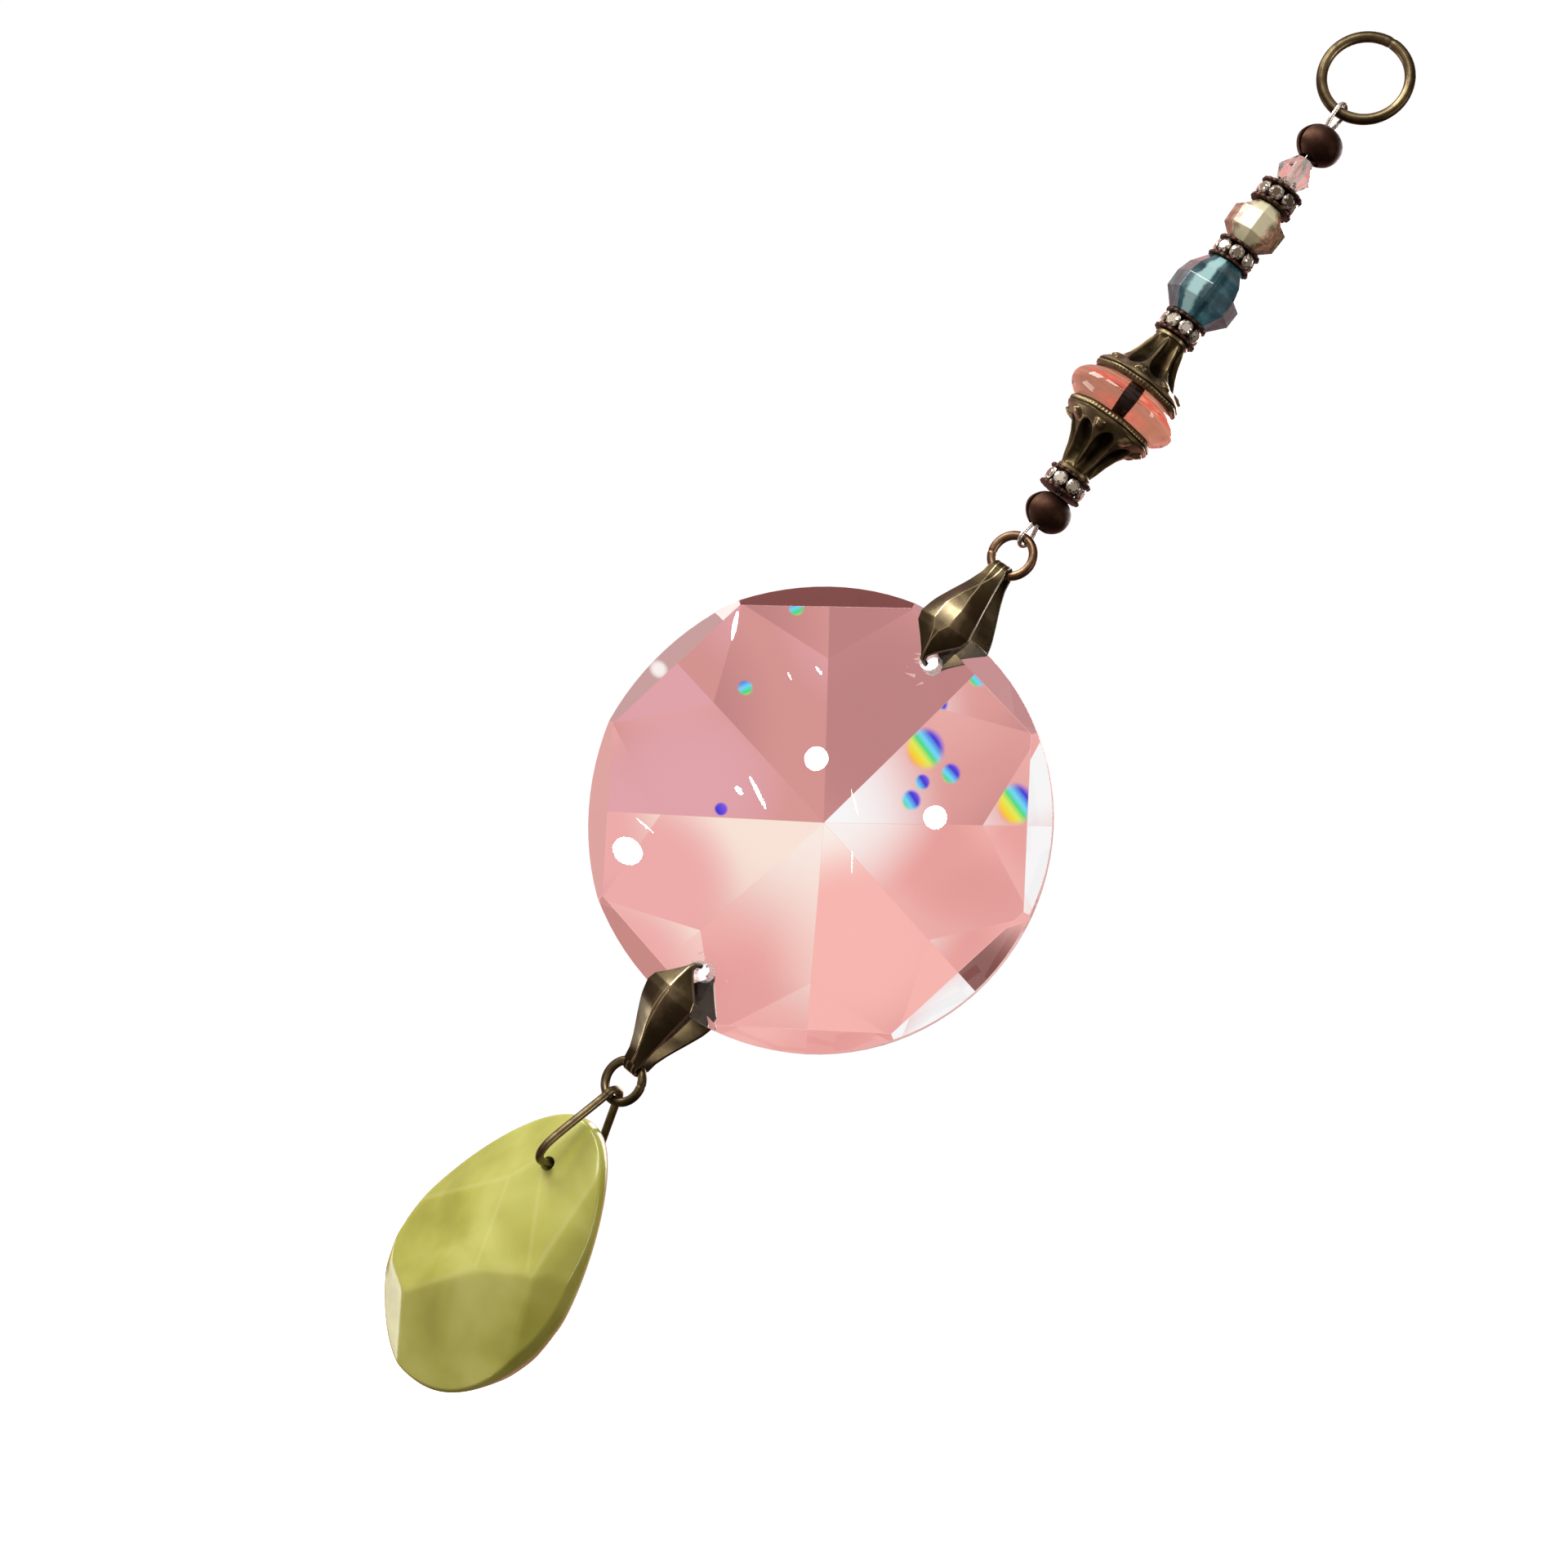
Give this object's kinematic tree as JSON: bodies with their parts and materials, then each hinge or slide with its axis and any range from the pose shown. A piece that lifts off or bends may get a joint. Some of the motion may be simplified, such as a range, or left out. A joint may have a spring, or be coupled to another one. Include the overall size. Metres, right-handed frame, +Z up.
{
  "type": "crystal suncatcher",
  "caption": "Hanging suncatcher: a string of small glass and metal beads over a large faceted clear disc, with a faceted olive stone drop below.",
  "frame": {"origin": "inside top of the hanging ring, where a hook carries the suncatcher", "axes": "+Z up along the string; the crystal's flat face looks toward -Y; +X is to the right seen from the front"},
  "size_m": [0.05, 0.0134, 0.1767],
  "materials": {
    "antique_bronze": "antiqued, satin with polished high spots",
    "dark_bronze": "dark oxidised, matte",
    "silver_wire": "bright",
    "clear_glass": "polished",
    "champagne_glass": "polished, metallic flecked",
    "blue_glass": "polished",
    "pink_glass": "polished",
    "rhinestone": "cut and foiled",
    "crystal_glass": "cut and polished",
    "olive_jade": "polished, slightly waxy"
  },
  "bodies": {
    "root": {"hanging_ring": "antique_bronze", "stringing_wire": "silver_wire", "crimp_cover_upper": "dark_bronze", "crimp_cover_lower": "dark_bronze", "clear_bead": "clear_glass", "champagne_bead": "champagne_glass", "blue_bead": "blue_glass", "pink_bead": "pink_glass", "bead_cap_upper": "antique_bronze", "bead_cap_lower": "antique_bronze", "rondelle1_frame": "antique_bronze", "rondelle1_stone1": "rhinestone", "rondelle1_stone2": "rhinestone", "rondelle1_stone3": "rhinestone", "rondelle1_stone4": "rhinestone", "rondelle1_stone5": "rhinestone", "rondelle1_stone6": "rhinestone", "rondelle1_stone7": "rhinestone", "rondelle1_stone8": "rhinestone", "rondelle2_frame": "antique_bronze", "rondelle2_stone1": "rhinestone", "rondelle2_stone2": "rhinestone", "rondelle2_stone3": "rhinestone", "rondelle2_stone4": "rhinestone", "rondelle2_stone5": "rhinestone", "rondelle2_stone6": "rhinestone", "rondelle2_stone7": "rhinestone", "rondelle2_stone8": "rhinestone", "rondelle3_frame": "antique_bronze", "rondelle3_stone1": "rhinestone", "rondelle3_stone2": "rhinestone", "rondelle3_stone3": "rhinestone", "rondelle3_stone4": "rhinestone", "rondelle3_stone5": "rhinestone", "rondelle3_stone6": "rhinestone", "rondelle3_stone7": "rhinestone", "rondelle3_stone8": "rhinestone", "rondelle4_frame": "antique_bronze", "rondelle4_stone1": "rhinestone", "rondelle4_stone2": "rhinestone", "rondelle4_stone3": "rhinestone", "rondelle4_stone4": "rhinestone", "rondelle4_stone5": "rhinestone", "rondelle4_stone6": "rhinestone", "rondelle4_stone7": "rhinestone", "rondelle4_stone8": "rhinestone", "bail_ring_upper": "antique_bronze", "bail_ring_lower": "antique_bronze", "bail_upper": "antique_bronze", "bail_lower": "antique_bronze", "crystal": "crystal_glass", "stone_drop": "olive_jade", "drop_wire": "antique_bronze"}
  },
  "joints": []
}
